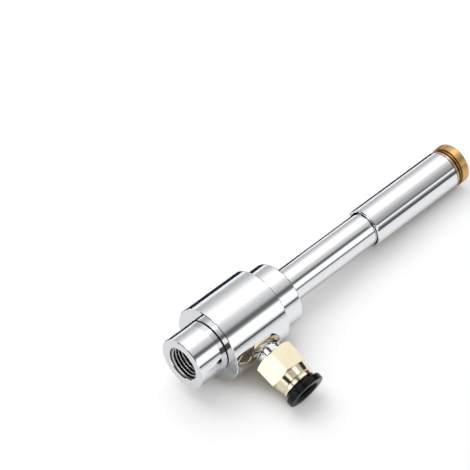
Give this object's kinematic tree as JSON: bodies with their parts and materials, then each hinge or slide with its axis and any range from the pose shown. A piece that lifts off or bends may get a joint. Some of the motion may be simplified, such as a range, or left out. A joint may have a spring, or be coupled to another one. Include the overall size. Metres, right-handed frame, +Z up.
{
  "type": "vortex tube",
  "caption": "Chromed vortex tube with a side push-in air inlet, a threaded cold outlet nose, a slim hot tube in a sleeve and a round brass valve that sets the hot flow.",
  "frame": {"origin": "centre of the cold outlet's face", "axes": "+X along the tube from the cold outlet to the hot valve, +Z up, the inlet fitting to -Y and a little downwards"},
  "size_m": [0.1435, 0.0512, 0.0305],
  "materials": {
    "chrome_plate": "mirror polished chrome plate",
    "brass": "turned brass",
    "nickel_plate": "bright nickel plate on brass",
    "pale_brass": "pale nickel plated brass",
    "black_plastic": "moulded black plastic",
    "black_rubber": "nitrile rubber",
    "white_plastic": "acetal",
    "stainless": "stainless steel"
  },
  "bodies": {
    "housing": {"body": "chrome_plate", "cold_end_cap": "chrome_plate", "gland_nut": "chrome_plate", "hot_tube": "chrome_plate", "sleeve": "chrome_plate", "orifice_disc": "brass", "fitting_body": "nickel_plate", "retainer_ring": "pale_brass", "cold_cap_seal": "black_rubber", "disc_o_ring": "black_rubber", "generator_o_ring": "black_rubber", "hot_tube_o_ring": "black_rubber", "tube_seal": "black_rubber", "swirl_generator": "white_plastic", "back_ring": "white_plastic", "grip_collet": "stainless", "spacer_bush": "stainless"},
    "valve_ring": {"valve_o_ring": "black_rubber"},
    "valve": {"hot_valve": "brass"},
    "release": {"release_sleeve": "black_plastic"}
  },
  "joints": [
    {"name": "valve_travel", "type": "slide", "parent": "housing", "child": "valve_ring", "axis": [1, 0, 0], "range_m": [0, 0.003]},
    {"name": "valve_turn", "type": "hinge", "parent": "valve_ring", "child": "valve", "pos_m": [0.14, 0, 0], "axis": [1, 0, 0], "range_deg": [0, 720]},
    {"name": "release_press", "type": "slide", "parent": "housing", "child": "release", "axis": [0, 0.9736, 0.2284], "range_m": [0, 0.001], "stiffness_N_per_m": 300}
  ],
  "couplings": [
    {"joint": "valve_turn", "follows": "valve_travel", "rad_per_m": 4188.8}
  ]
}
